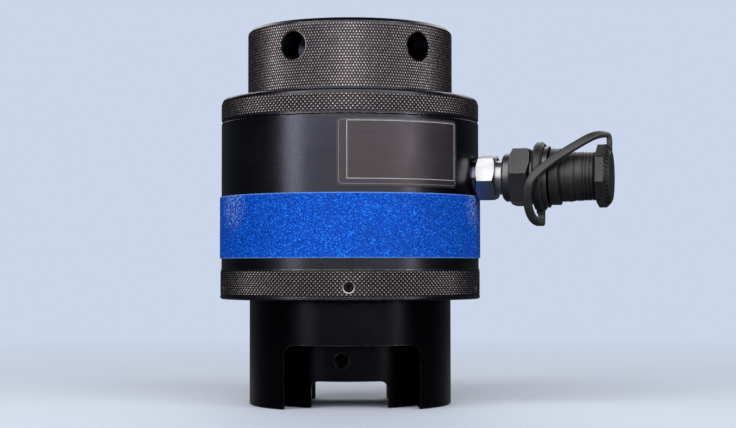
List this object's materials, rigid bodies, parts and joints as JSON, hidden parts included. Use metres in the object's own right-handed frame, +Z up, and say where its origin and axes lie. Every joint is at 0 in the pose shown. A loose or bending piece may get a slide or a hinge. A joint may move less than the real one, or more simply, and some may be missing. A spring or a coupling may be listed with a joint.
{
  "type": "hydraulic bolt tensioner",
  "caption": "Topside hydraulic tensioner: cylinder on a windowed bridge, knurled puller head, nut socket, side coupler with tethered dust cap.",
  "frame": {"origin": "centre of the bridge's foot, where the stud's axis meets the flange face", "axes": "+Z up along the stud and puller axis, -Y towards the open bridge window in front, the coupler towards +X"},
  "size_m": [0.159, 0.1064, 0.152],
  "materials": {
    "black_steel": "black oxide, satin",
    "bright_steel": "bright zinc",
    "spring_steel": "oiled spring steel",
    "seal": "nitrile and polyurethane",
    "backup": "plain acetal",
    "tape": "gritty anti-slip tape",
    "plate": "dark anodised, bare",
    "cap_rubber": "matte moulded rubber"
  },
  "bodies": {
    "load_cell": {"bridge": "black_steel", "socket_circlip": "spring_steel", "collar_grub_screws": "black_steel", "bridge_collar": "black_steel", "cylinder_body": "black_steel", "neck_seal": "seal", "neck_backup_ring": "backup", "top_cover": "black_steel", "wiper_ring": "seal", "return_spring": "spring_steel", "grip_tape": "tape", "rating_plate": "plate", "port_seal_washer": "bright_steel", "port_adaptor": "bright_steel", "coupler_body": "black_steel", "coupler_o_ring": "seal", "poppet_retainer": "bright_steel", "poppet_spring": "spring_steel", "tether_ring": "cap_rubber", "cap_tether": "cap_rubber"},
    "ram": {"piston": "black_steel", "piston_seal": "seal", "piston_backup_ring": "backup"},
    "puller_bar": {"puller": "black_steel", "puller_keys": "black_steel", "puller_head": "black_steel"},
    "socket": {"nut_socket": "black_steel"},
    "cap": {"dust_cap": "cap_rubber"},
    "valve": {"valve_poppet": "bright_steel"}
  },
  "joints": [
    {"name": "piston_stroke", "type": "slide", "parent": "load_cell", "child": "ram", "axis": [0, 0, 1], "range_m": [0, 0.01], "stiffness_N_per_m": 6000, "springref_m": -0.005, "deforming": ["return_spring"]},
    {"name": "puller_spin", "type": "hinge", "parent": "ram", "child": "puller_bar", "pos_m": [0, 0, 0.124], "axis": [0, 0, 1], "continuous": true},
    {"name": "socket_spin", "type": "hinge", "parent": "load_cell", "child": "socket", "pos_m": [0, 0, 0.027], "axis": [0, 0, 1], "continuous": true},
    {"name": "cap_pull", "type": "slide", "parent": "load_cell", "child": "cap", "axis": [0.9659, -0.2588, 0], "range_m": [0, 0.02]},
    {"name": "poppet_travel", "type": "slide", "parent": "load_cell", "child": "valve", "axis": [-0.9659, 0.2588, 0], "range_m": [0, 0.002], "stiffness_N_per_m": 3000, "springref_m": -0.002, "deforming": ["poppet_spring"]}
  ]
}
